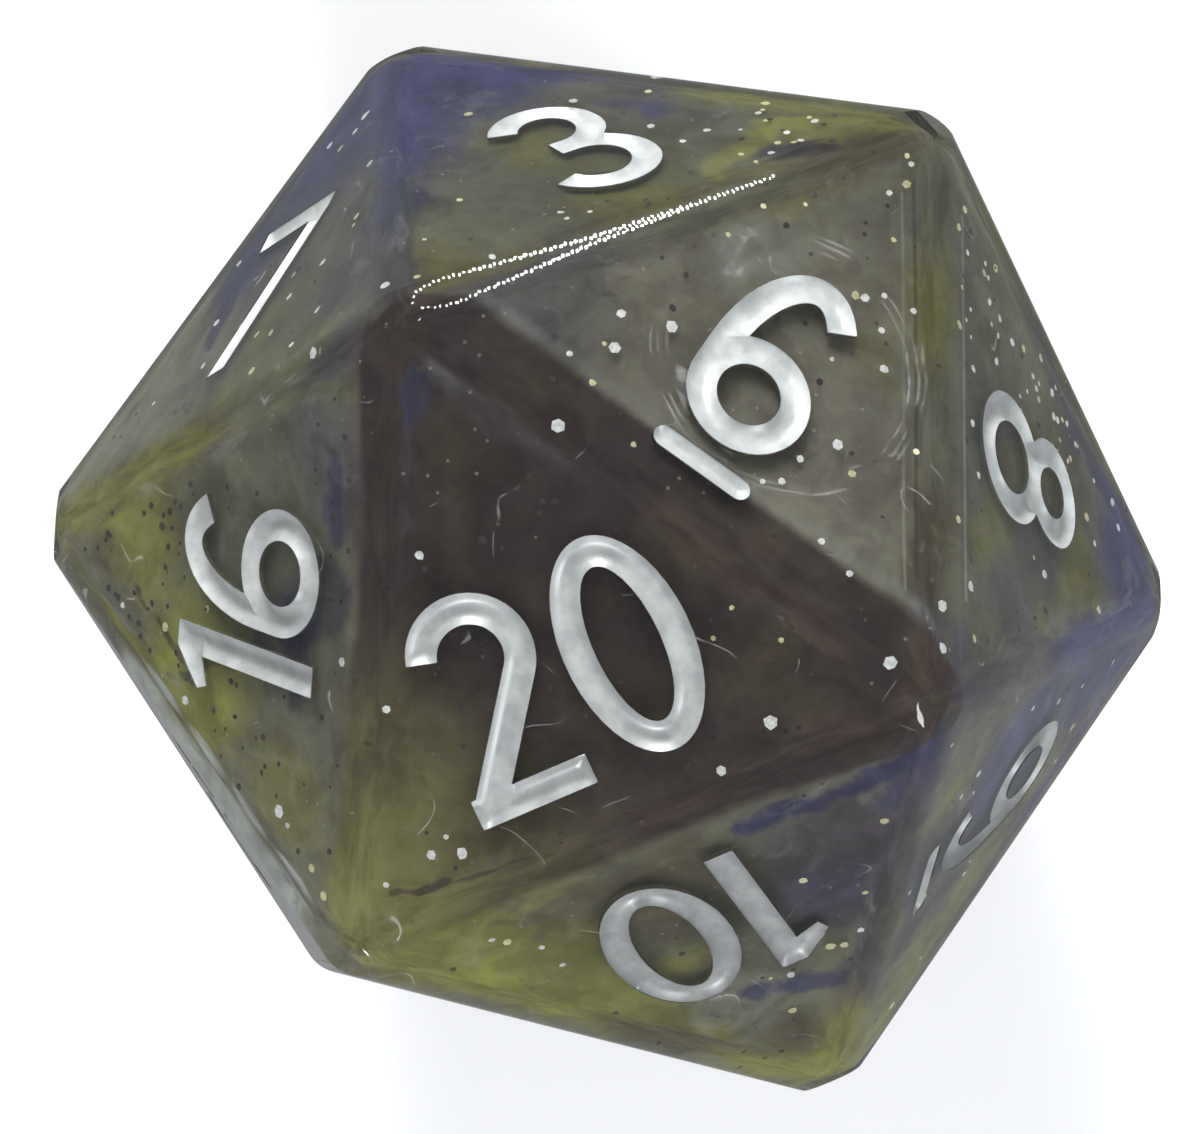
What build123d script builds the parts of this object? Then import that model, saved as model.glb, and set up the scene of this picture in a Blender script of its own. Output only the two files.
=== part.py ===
from build123d import *
from math import cos, radians, sin, sqrt
import os

# A twenty-sided die cast in clear resin, with coloured swirls and glitter inside it
# and silver paint in its engraved numbers.
# Millimetres. The die rests on face 1, so face 20 is on top. The origin is the centre
# of the face it rests on, and +Z points up through the middle of face 20.

# ---- Driving dimensions -------------------------------------------------------------
face_to_face = 20.0        # between two opposite faces, the usual size of a gaming die
corner_a_azimuth = 113.7   # where the first corner of face 20 points, degrees from +X
edge_radius = 0.95         # every edge is polished round
corner_rim_radius = 0.15   # round the small flats polished across the corners
corner_cut = {             # how far each pair of opposite corners is polished back
    "a": 0.42,
    "b": 0.42,
    "c": 0.42,
    "ab": 0.36,
    "bc": 0.50,
    "ca": 0.56,
}

engraving_depth = 0.40     # depth of the numbers below their face
paint_recess = 0.12        # the paint lies this far below the face
digit_height = 4.5
digit_width = 2.56
stroke = 0.62              # width of every line in the numbers
digit_gap = 0.34           # between the two digits of a number
underline_length = 2.2     # the bar that tells 6 from 9
underline_width = 0.46
underline_gap = 0.36
underlined_rise = 0.28     # a number with an underline sits this much higher
paired_drop = 0.15         # and a number of two digits this much lower

layer_height = (-5.2, -1.8, 1.8, 5.2)      # of each ring of swirls, from the die's centre
layer_radius = (4.8, 6.6, 6.6, 4.8)        # of each ring's centre line
layer_colours = (
    ("violet", "olive"),
    ("violet", "olive", "violet"),
    ("olive", "violet", "olive"),
    ("violet", "olive"),
)
swirl_gap_angle = 24.0     # between neighbours in one ring
swirl_half_width = 1.1
swirl_half_thickness = 0.75
core_radius = 3.4          # the cloud of smoky resin in the middle

flake_radius = 0.13
flake_thickness = 0.03
flake_kinds = {            # how many flakes, and how far they lie from the die's centre
    "silver": (60, 9.40),
    "gold": (40, 9.12),
    "dark": (48, 8.84),
}

# ---- The icosahedron ----------------------------------------------------------------
golden = (1 + sqrt(5)) / 2
inradius = face_to_face / 2
edge = inradius * 2 * sqrt(3) / golden**2
top_radius = edge / sqrt(3)                # from the middle of a face to its corners
ring_radius = golden * top_radius          # of the three corners just below face 20
ring_height = inradius - top_radius
centre = Vector(0, 0, inradius)


def at_azimuth(radius, degrees, height):
    """A point round the die's upright axis, measured from its centre."""
    return Vector(radius * cos(radians(degrees)), radius * sin(radians(degrees)), height)


def corner(name):
    """One of the twelve corners, from the die's centre. "-a" is opposite "a"."""
    if name.startswith("-"):
        return corner(name[1:]) * -1
    turn = {"a": 0, "b": -120, "c": 120, "ab": -60, "bc": 180, "ca": 60}[name]
    if len(name) == 1:
        return at_azimuth(top_radius, corner_a_azimuth + turn, inradius)
    return at_azimuth(ring_radius, corner_a_azimuth + turn, ring_height)


def opposite(corners):
    """The corners of the face on the far side of the die."""
    return tuple(name[1:] if name.startswith("-") else "-" + name for name in corners)


# The top half's faces by number, each with the corner that its number points to first.
# Opposite faces add up to 21.
half_the_faces = {
    20: ("a", "b", "c"),
    16: ("ca", "c", "a"),
    6: ("ab", "a", "b"),
    10: ("bc", "b", "c"),
    3: ("-bc", "a", "ab"),
    7: ("-bc", "a", "ca"),
    8: ("-ca", "b", "ab"),
    9: ("-ca", "b", "bc"),
    2: ("-ab", "c", "ca"),
    4: ("-ab", "c", "bc"),
}
faces = dict(half_the_faces)
faces.update({21 - number: opposite(corners) for number, corners in half_the_faces.items()})


def face_plane(number):
    """The plane of a face: its normal points out and its Y towards the number's top."""
    tip, left, right = (corner(name) for name in faces[number])
    middle = (tip + left + right) / 3
    return Plane(centre + middle, x_dir=(tip - middle).cross(middle), z_dir=middle)


def corner_plane(name):
    """The small flat polished across a corner, facing out."""
    point = corner(name)
    cut = corner_cut[name.lstrip("-")]
    return Plane(centre + point * (1 - cut / point.length), z_dir=point)


# ---- Digits, drawn round their own middle -------------------------------------------
half_height = digit_height / 2
half_width = digit_width / 2
line_top = half_height - stroke / 2        # the lines' own middles reach this far
line_side = half_width - stroke / 2
flag_reach = 0.68                          # of a 1's flag, to the left of its stem


def digit_zero():
    with BuildSketch() as digit:
        Ellipse(half_width, half_height)
        Ellipse(half_width - stroke, half_height - stroke, mode=Mode.SUBTRACT)
    return digit.sketch


def digit_one():
    stem = stroke / 2
    flag_left = -stem - flag_reach
    flag_top = half_height - 0.75
    with BuildSketch() as digit:
        with BuildLine():
            Polyline(
                (stem, -half_height),
                (stem, half_height),
                (0.08 - stem, half_height),
                (flag_left, flag_top),
                (flag_left + 0.12, flag_top - 0.34),
                (-stem, flag_top - 0.12),
                (-stem, -half_height),
                close=True,
            )
        make_face()
    return digit.sketch


def digit_two():
    bowl = line_side
    starts_at = 165
    leaves_at = -38
    base_width = digit_width - 0.1
    base_left = -half_width + 0.32
    with BuildSketch() as digit:
        with BuildLine():
            top = CenterArc((0, line_top - bowl), bowl, starts_at, leaves_at - starts_at)
            Line(top @ 1, (base_left, -line_top))
        trace(line_width=stroke)
        with Locations((0, -line_top)):
            Rectangle(base_width, stroke)
    return digit.sketch


def digit_three():
    waist = 0.10
    waist_length = 0.36
    upper = (line_top - waist) / 2
    lower = (line_top + waist) / 2
    upper_starts = 155
    lower_ends = -160
    with BuildSketch() as digit:
        with BuildLine():
            CenterArc((0, waist + upper), upper, upper_starts, -90 - upper_starts)
        trace(line_width=stroke)
        with BuildLine():
            CenterArc((0, waist - lower), lower, 90, lower_ends - 90)
        trace(line_width=stroke)
        with Locations((-waist_length / 2, waist)):
            Rectangle(waist_length, stroke)
    return digit.sketch


def digit_four():
    stem_left = 0.42 - stroke / 2
    stem_right = 0.42 + stroke / 2
    bar_middle = -1.0
    bar_top = bar_middle + stroke / 2
    bar_bottom = bar_middle - stroke / 2
    bar_end = half_width
    window_top = 1.05
    window_left = -half_width + 0.72
    with BuildSketch() as digit:
        with BuildLine():
            Polyline(
                (stem_right, -half_height),
                (stem_right, half_height),
                (stem_left + 0.1, half_height),
                (-half_width, bar_top - 0.05),
                (-half_width, bar_bottom),
                (stem_left, bar_bottom),
                (stem_left, -half_height),
                close=True,
            )
        make_face()
        with Locations(((stem_right + bar_end) / 2, bar_middle)):
            Rectangle(bar_end - stem_right, stroke)
        with BuildLine():
            Polyline(
                (stem_left, bar_top),
                (stem_left, window_top),
                (window_left, bar_top),
                close=True,
            )
        make_face(mode=Mode.SUBTRACT)
    return digit.sketch


def digit_five():
    bowl = 1.1
    bowl_starts = 128
    bowl_ends = -160
    flag_right = half_width - 0.2
    flag_left = -0.94
    neck_left = -1.12
    neck_foot = -0.28
    with BuildSketch() as digit:
        with BuildLine():
            CenterArc((-0.08, bowl - line_top), bowl, bowl_starts, bowl_ends - bowl_starts)
        trace(line_width=stroke)
        with BuildLine():
            Polyline(
                (flag_right, half_height),
                (flag_left, half_height),
                (neck_left, neck_foot),
                (neck_left + stroke, neck_foot),
                (flag_left + stroke, half_height - stroke),
                (flag_right, half_height - stroke),
                close=True,
            )
        make_face()
    return digit.sketch


def digit_six():
    ring = line_side
    ring_middle = -line_top + ring
    shoulder = -0.25
    hook_radius = ring * 1.14
    hook_ends = 50
    with BuildSketch() as digit:
        with Locations((0, ring_middle)):
            Circle(ring + stroke / 2)
        with BuildLine():
            Line((-ring, ring_middle), (-ring, shoulder))
            EllipticalCenterArc(
                (hook_radius - ring, shoulder),
                hook_radius,
                line_top - shoulder,
                start_angle=hook_ends,
                arc_size=180 - hook_ends,
            )
        trace(line_width=stroke)
        with Locations((0, ring_middle)):
            Circle(ring - stroke / 2, mode=Mode.SUBTRACT)
    return digit.sketch


def digit_seven():
    foot_right = -0.08
    slant = stroke * 1.1                   # the leaning leg, measured level
    bar_foot = half_height - stroke
    with BuildSketch() as digit:
        with BuildLine():
            Polyline(
                (-half_width, half_height),
                (half_width, half_height),
                (half_width, half_height - stroke * 0.7),
                (foot_right, -half_height),
                (foot_right - slant, -half_height),
                (half_width - slant, bar_foot),
                (-half_width, bar_foot),
                close=True,
            )
        make_face()
    return digit.sketch


def digit_eight():
    waist = 0.22
    upper = (line_top - waist) / 2
    lower = (line_top + waist) / 2
    with BuildSketch() as digit:
        with Locations((0, waist + upper)):
            Circle(upper + stroke / 2)
        with Locations((0, waist - lower)):
            Circle(lower + stroke / 2)
        with Locations((0, waist + upper)):
            Circle(upper - stroke / 2, mode=Mode.SUBTRACT)
        with Locations((0, waist - lower)):
            Circle(lower - stroke / 2, mode=Mode.SUBTRACT)
    return digit.sketch


def digit_nine():
    with BuildSketch() as digit:
        add(digit_six(), rotation=180)
    return digit.sketch


digits = {
    "0": digit_zero,
    "1": digit_one,
    "2": digit_two,
    "3": digit_three,
    "4": digit_four,
    "5": digit_five,
    "6": digit_six,
    "7": digit_seven,
    "8": digit_eight,
    "9": digit_nine,
}
digit_span = {name: digit_width for name in digits}
digit_span["1"] = stroke + flag_reach      # a 1 is only as wide as its stem and flag


def draw_number(number):
    """Add a number to the sketch being drawn, middled on it. 6 and 9 are underlined."""
    text = str(number)
    underlined = text in ("6", "9")
    total = sum(digit_span[name] for name in text) + digit_gap * (len(text) - 1)
    left = -total / 2
    rise = -paired_drop if len(text) > 1 else underlined_rise * underlined
    for name in text:
        middle = left + digit_span[name] / 2
        if name == "1":
            middle += digit_span[name] / 2 - stroke / 2
        with Locations((middle, rise)):
            add(digits[name]())
        left += digit_span[name] + digit_gap
    if underlined:
        with Locations((0, rise - half_height - underline_gap - underline_width / 2)):
            SlotOverall(underline_length, underline_width)


# ---- Paint in each engraved number --------------------------------------------------
def make_paint(number):
    with BuildPart() as paint:
        with BuildSketch(face_plane(number).offset(-engraving_depth)):
            draw_number(number)
        extrude(amount=engraving_depth - paint_recess)
    return paint.part


# ---- Coloured swirls ----------------------------------------------------------------
def make_swirl(layer, start, sweep):
    """A flat ribbon of coloured resin that curls part of the way round the die."""
    height = inradius + layer_height[layer]
    section = Plane(
        (0, 0, height),
        x_dir=at_azimuth(1, start, 0),
        z_dir=at_azimuth(1, start - 90, 0),
    )
    with BuildPart() as swirl:
        with BuildSketch(section):
            with Locations((layer_radius[layer], 0)):
                Ellipse(swirl_half_width, swirl_half_thickness)
        revolve(axis=Axis.Z, revolution_arc=sweep)
    return swirl.part


def make_swirls():
    """Every ribbon, by name, ring after ring from the bottom."""
    swirls = {}
    for layer, colours in enumerate(layer_colours):
        share = 360 / len(colours)
        for place, colour in enumerate(colours):
            start = place * share + layer * 40
            count = sum(name.startswith(colour) for name in swirls) + 1
            swirl = make_swirl(layer, start, share - swirl_gap_angle)
            swirls[f"{colour}_swirl_{count}"] = swirl
    return swirls


def make_core():
    with BuildPart() as core:
        with Locations(centre):
            Sphere(core_radius)
    return core.part


# ---- Glitter ------------------------------------------------------------------------
def make_flakes(count, distance):
    """Six-sided flakes, spread evenly over a sphere inside the die and tipped about."""
    golden_angle = 360 * (2 - golden)
    planes = []
    for index in range(count):
        height = 1 - (2 * index + 1) / count
        around = index * golden_angle
        direction = at_azimuth(sqrt(1 - height**2), around, height)
        tipped = direction + at_azimuth(0.8, around * 3, 0.5 * sin(index))
        planes.append(Plane(centre + direction * distance, z_dir=tipped))
    with BuildPart() as flakes:
        with BuildSketch(*planes):
            RegularPolygon(flake_radius, 6)
        extrude(amount=flake_thickness / 2, both=True)
    return flakes.part


# ---- The clear resin casting --------------------------------------------------------
def make_resin(inside):
    """The die itself, with room for everything that is cast or painted into it."""
    corners = ("a", "b", "c", "ab", "bc", "ca")
    with BuildPart() as resin:
        with Locations(centre):
            Box(2 * face_to_face, 2 * face_to_face, 2 * face_to_face)
        for number in faces:
            split(bisect_by=face_plane(number), keep=Keep.BOTTOM)
        fillet(resin.edges(), edge_radius)
        for name in corners + opposite(corners):
            split(bisect_by=corner_plane(name), keep=Keep.BOTTOM)
            flat = resin.faces().sort_by_distance(corner_plane(name).origin)[0]
            fillet(flat.edges(), corner_rim_radius)
        for number in faces:
            with BuildSketch(face_plane(number)):
                draw_number(number)
            extrude(amount=-engraving_depth, mode=Mode.SUBTRACT)
        for piece in inside:
            add(piece, mode=Mode.SUBTRACT)
    return resin.part


def write(piece, name):
    piece.label = name
    export_step(piece, f"parts/{name}.step")


os.makedirs("parts", exist_ok=True)

pieces = make_swirls()
pieces["smoky_core"] = make_core()
for kind, (count, distance) in flake_kinds.items():
    pieces[f"{kind}_glitter"] = make_flakes(count, distance)
resin_body = make_resin(list(pieces.values()))

write(resin_body, "resin_body")
for name, piece in pieces.items():
    write(piece, name)
for number in sorted(faces):
    write(make_paint(number), f"numeral_{number:02d}")
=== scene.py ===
from math import cos, pi, radians, sin, sqrt
import random

import bmesh
import bpy
from mathutils import Matrix, Vector, noise
from mathutils.geometry import delaunay_2d_cdt
import numpy as np


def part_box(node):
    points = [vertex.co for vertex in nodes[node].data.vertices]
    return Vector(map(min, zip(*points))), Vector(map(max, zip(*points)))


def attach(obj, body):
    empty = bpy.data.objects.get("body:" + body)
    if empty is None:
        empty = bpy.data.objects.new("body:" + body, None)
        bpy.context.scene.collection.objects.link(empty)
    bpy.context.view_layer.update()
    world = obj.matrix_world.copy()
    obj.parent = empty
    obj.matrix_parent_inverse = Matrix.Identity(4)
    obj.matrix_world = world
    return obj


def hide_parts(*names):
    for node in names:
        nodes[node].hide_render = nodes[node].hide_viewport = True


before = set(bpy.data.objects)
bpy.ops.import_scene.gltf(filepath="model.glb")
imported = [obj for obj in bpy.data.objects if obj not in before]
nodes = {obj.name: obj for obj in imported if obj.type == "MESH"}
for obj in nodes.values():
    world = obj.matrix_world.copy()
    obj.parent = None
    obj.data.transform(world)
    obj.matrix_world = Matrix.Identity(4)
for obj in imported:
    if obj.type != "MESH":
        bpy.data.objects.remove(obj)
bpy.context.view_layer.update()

# A twenty-sided resin die: clear casting, clouds of violet and olive pigment under its
# skin, painted numbers sunk into its faces, and foil glitter. Sizes are in metres.
MM = 0.001
scene = bpy.context.scene

# ---- The die's geometry, from the frame ---------------------------------------------
face_to_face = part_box("resin_body")[1].z
inradius = face_to_face / 2
centre = Vector((0, 0, inradius))
golden = (1 + sqrt(5)) / 2
edge_length = inradius * 2 * sqrt(3) / golden**2
top_radius = edge_length / sqrt(3)
ring_radius = golden * top_radius
ring_height = inradius - top_radius
corner_a_azimuth = 113.7

engraving_depth = 0.40 * MM
paint_depth = 0.24 * MM            # of the numbers as filled: the paint stops short of the floor
band_width = 0.94 * MM             # of the flat band polished along the edge from a to ab
cloud_depth = 0.55 * MM            # of the pigment below the faces, clear of the numbers


def at_azimuth(radius, degrees, height):
    return Vector((radius * cos(radians(degrees)), radius * sin(radians(degrees)), height))


def corner(name):
    """A corner of the die from its centre. Face 20 is a, b, c; "-a" is opposite "a"."""
    if name.startswith("-"):
        return -corner(name[1:])
    turn = {"a": 0, "b": -120, "c": 120, "ab": -60, "bc": 180, "ca": 60}[name]
    if len(name) == 1:
        return at_azimuth(top_radius, corner_a_azimuth + turn, inradius)
    return at_azimuth(ring_radius, corner_a_azimuth + turn, ring_height)


def between(**weights):
    """A point from the centre, as a weighted mean of corners. no_bc stands for "-bc"."""
    total = sum(weights.values())
    place = Vector()
    for name, weight in weights.items():
        place += corner(name.replace("no_", "-")) * (weight / total)
    return place


corner_names = ["a", "b", "c", "ab", "bc", "ca"]
corner_names += ["-" + name for name in corner_names]
face_corners = []
for i, first in enumerate(corner_names):
    for j, second in enumerate(corner_names[:i]):
        for third in corner_names[:j]:
            sides = [(corner(first) - corner(second)).length]
            sides.append((corner(second) - corner(third)).length)
            sides.append((corner(third) - corner(first)).length)
            if max(sides) < edge_length * 1.01:
                face_corners.append((first, second, third))
face_normals = [sum((corner(n) for n in names), Vector()).normalized() for names in face_corners]


# ---- Camera -------------------------------------------------------------------------
camera_azimuth = 60.37             # of the camera, round the die from +X
camera_elevation = 77.12
camera_distance = 83.0 * MM
camera_lens = 114.3
aim = centre + Vector((-0.262, -0.031, 0.038)) * MM

camera_data = bpy.data.cameras.new("camera")
camera_data.lens = camera_lens
camera_data.sensor_width = 36.0
camera_data.clip_start = 0.002
camera_data.clip_end = 5.0
camera = bpy.data.objects.new("camera", camera_data)
scene.collection.objects.link(camera)
towards_camera = at_azimuth(cos(radians(camera_elevation)), camera_azimuth, sin(radians(camera_elevation)))
camera.location = centre + towards_camera * camera_distance
looking = (aim - camera.location).normalized()
camera_up = Vector((1, 0, 0)).cross(looking).normalized()
camera_right = looking.cross(camera_up)
camera.matrix_world = (
    Matrix.Translation(camera.location)
    @ Matrix((camera_right, camera_up, -looking)).transposed().to_4x4()
)
scene.camera = camera


# ---- Studio -------------------------------------------------------------------------
def area_light(name, place, size, power, colour=(1, 1, 1)):
    data = bpy.data.lights.new(name, "AREA")
    data.shape = "SQUARE"
    data.size = size
    data.energy = power
    data.color = colour
    light = bpy.data.objects.new(name, data)
    light.location = centre + Vector(place)
    light.rotation_euler = (-Vector(place)).to_track_quat("-Z", "Y").to_euler()
    scene.collection.objects.link(light)


area_light("key_light", (-0.04, 0.39, 0.18), 0.16, 3.4)
area_light("left_fill", (-0.063, -0.357, 0.283), 0.12, 1.6, (0.98, 0.98, 1.0))
area_light("right_fill", (0.315, -0.182, 0.21), 0.14, 0.9, (0.96, 0.98, 1.0))

world = bpy.data.worlds.new("studio")
world.use_nodes = True
world.node_tree.nodes["Background"].inputs["Color"].default_value = (0.93, 0.96, 1.0, 1)
world.node_tree.nodes["Background"].inputs["Strength"].default_value = 0.31
scene.world = world
scene.view_settings.view_transform = "Standard"


# ---- Node trees ---------------------------------------------------------------------
class Tree:
    """A material under construction. Each method adds a node and returns its output."""

    def __init__(self, name):
        self.material = bpy.data.materials.new(name)
        self.material.use_nodes = True
        self.nodes = self.material.node_tree.nodes
        self.links = self.material.node_tree.links
        self.shader = self.nodes["Principled BSDF"]

    def put(self, value, socket):
        if isinstance(value, bpy.types.NodeSocket):
            self.links.new(value, socket)
        elif isinstance(value, tuple) and len(value) == 3 and socket.type == "RGBA":
            socket.default_value = (*value, 1)
        else:
            socket.default_value = value

    def set(self, **values):
        """Sets the shader's own sockets: underscores stand for spaces."""
        for name, value in values.items():
            self.put(value, self.shader.inputs[name.replace("_", " ")])

    def place(self, depth=0.0):
        """Object coordinates, looked up a little under the surface, square to it."""
        spot = self.nodes.new("ShaderNodeTexCoord").outputs["Object"]
        if depth == 0:
            return spot
        normal = self.nodes.new("ShaderNodeNewGeometry").outputs["True Normal"]
        return self.vector("SUBTRACT", spot, self.scale(normal, depth))

    def attribute(self, name):
        """A mesh's own vector, one for each vertex."""
        node = self.nodes.new("ShaderNodeAttribute")
        node.attribute_name = name
        return node.outputs["Vector"]

    def math(self, operation, a, b=0.0, clamp=False):
        node = self.nodes.new("ShaderNodeMath")
        node.operation = operation
        node.use_clamp = clamp
        self.put(a, node.inputs[0])
        self.put(b, node.inputs[1])
        return node.outputs[0]

    def vector(self, operation, a, b):
        node = self.nodes.new("ShaderNodeVectorMath")
        node.operation = operation
        self.put(a, node.inputs[0])
        self.put(b, node.inputs[1])
        return node.outputs["Value" if operation in ("DISTANCE", "DOT_PRODUCT") else "Vector"]

    def scale(self, vector, factor):
        node = self.nodes.new("ShaderNodeVectorMath")
        node.operation = "SCALE"
        self.put(vector, node.inputs[0])
        self.put(factor, node.inputs["Scale"])
        return node.outputs["Vector"]

    def nearest_between(self, place, start, end):
        """The point nearest to place on the line from start to end."""
        run = end - start
        offset = self.vector("SUBTRACT", place, tuple(start))
        share = self.vector("DOT_PRODUCT", offset, tuple(run / run.length_squared))
        reach = self.scale(tuple(run), self.math("ADD", share, 0.0, clamp=True))
        return self.vector("ADD", reach, tuple(start))

    def noise(self, place, size, detail=3.0, roughness=0.55, output="Fac"):
        """Cloudy noise whose lumps are about `size` metres across."""
        node = self.nodes.new("ShaderNodeTexNoise")
        self.put(place, node.inputs["Vector"])
        node.inputs["Scale"].default_value = 1 / size
        node.inputs["Detail"].default_value = detail
        node.inputs["Roughness"].default_value = roughness
        return node.outputs[output]

    def cells(self, place, size):
        """How far a place is from the nearest of scattered points, `size` apart."""
        node = self.nodes.new("ShaderNodeTexVoronoi")
        self.put(place, node.inputs["Vector"])
        node.inputs["Scale"].default_value = 1 / size
        return node.outputs["Distance"]

    def warp(self, place, size, amount, detail=2.0):
        """Places pushed about by noise, for wisps and curls."""
        push = self.noise(place, size, detail, output="Color")
        centred = self.vector("SUBTRACT", push, (0.5, 0.5, 0.5))
        return self.vector("ADD", place, self.scale(centred, amount))

    def ease(self, value, low, high, bottom=0.0, top=1.0):
        """Goes smoothly from bottom to top as value goes from low to high."""
        node = self.nodes.new("ShaderNodeMapRange")
        node.interpolation_type = "SMOOTHSTEP"
        self.put(value, node.inputs["Value"])
        if low > high:
            low, high, bottom, top = high, low, top, bottom
        node.inputs["From Min"].default_value = low
        node.inputs["From Max"].default_value = high
        node.inputs["To Min"].default_value = bottom
        node.inputs["To Max"].default_value = top
        return node.outputs["Result"]

    def mix(self, factor, a, b, blend="MIX"):
        node = self.nodes.new("ShaderNodeMix")
        node.data_type = "RGBA"
        node.blend_type = blend
        self.put(factor, node.inputs["Factor"])
        colours = [socket for socket in node.inputs if socket.type == "RGBA"]
        self.put(a, colours[0])
        self.put(b, colours[1])
        return [socket for socket in node.outputs if socket.type == "RGBA"][0]

    def bump(self, height, distance, strength=1.0):
        node = self.nodes.new("ShaderNodeBump")
        node.inputs["Strength"].default_value = strength
        node.inputs["Distance"].default_value = distance
        self.put(height, node.inputs["Height"])
        self.put(node.outputs["Normal"], self.shader.inputs["Normal"])


# ---- Colours and clouds -------------------------------------------------------------
grey_olive = (0.138, 0.136, 0.100)
olive = (0.172, 0.170, 0.052)
lime = (0.238, 0.242, 0.058)
pale_olive = (0.205, 0.210, 0.145)
violet = (0.062, 0.064, 0.160)
indigo = (0.034, 0.034, 0.088)
lilac = (0.085, 0.086, 0.190)
umber = (0.042, 0.031, 0.031)
bark = (0.086, 0.076, 0.048)
dusk = (0.064, 0.056, 0.066)
milk = (0.30, 0.31, 0.29)
haze = (0.110, 0.105, 0.112)
ash = (0.222, 0.210, 0.172)
deep_violet = (0.048, 0.050, 0.096)
bark_dark = (0.050, 0.036, 0.030)
# painted light, for the floor seen through the rim and for the gleams
painted_light_grey = (0.37, 0.39, 0.37)

face_break = 4.5 * MM              # how far apart the colours of neighbouring faces lie
cloud_fade = 0.55              # of a cloud's radius, over which it fades


class Cloud:
    """A puff of pigment under one face, which its three weighted corners name."""

    def __init__(self, tint, radius, cover, **weights):
        self.tint, self.cover = tint, cover
        self.radius = radius * MM
        facing = sum((corner(name.replace("no_", "-")) for name in weights), Vector())
        self.place = between(**weights) + facing.normalized() * face_break


class Streak(Cloud):
    """A drawn-out puff, from one place under a face to another."""

    def __init__(self, tint, radius, cover, start, end):
        super().__init__(tint, radius, cover, **end)
        self.end = self.place
        super().__init__(tint, radius, cover, **start)


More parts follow.
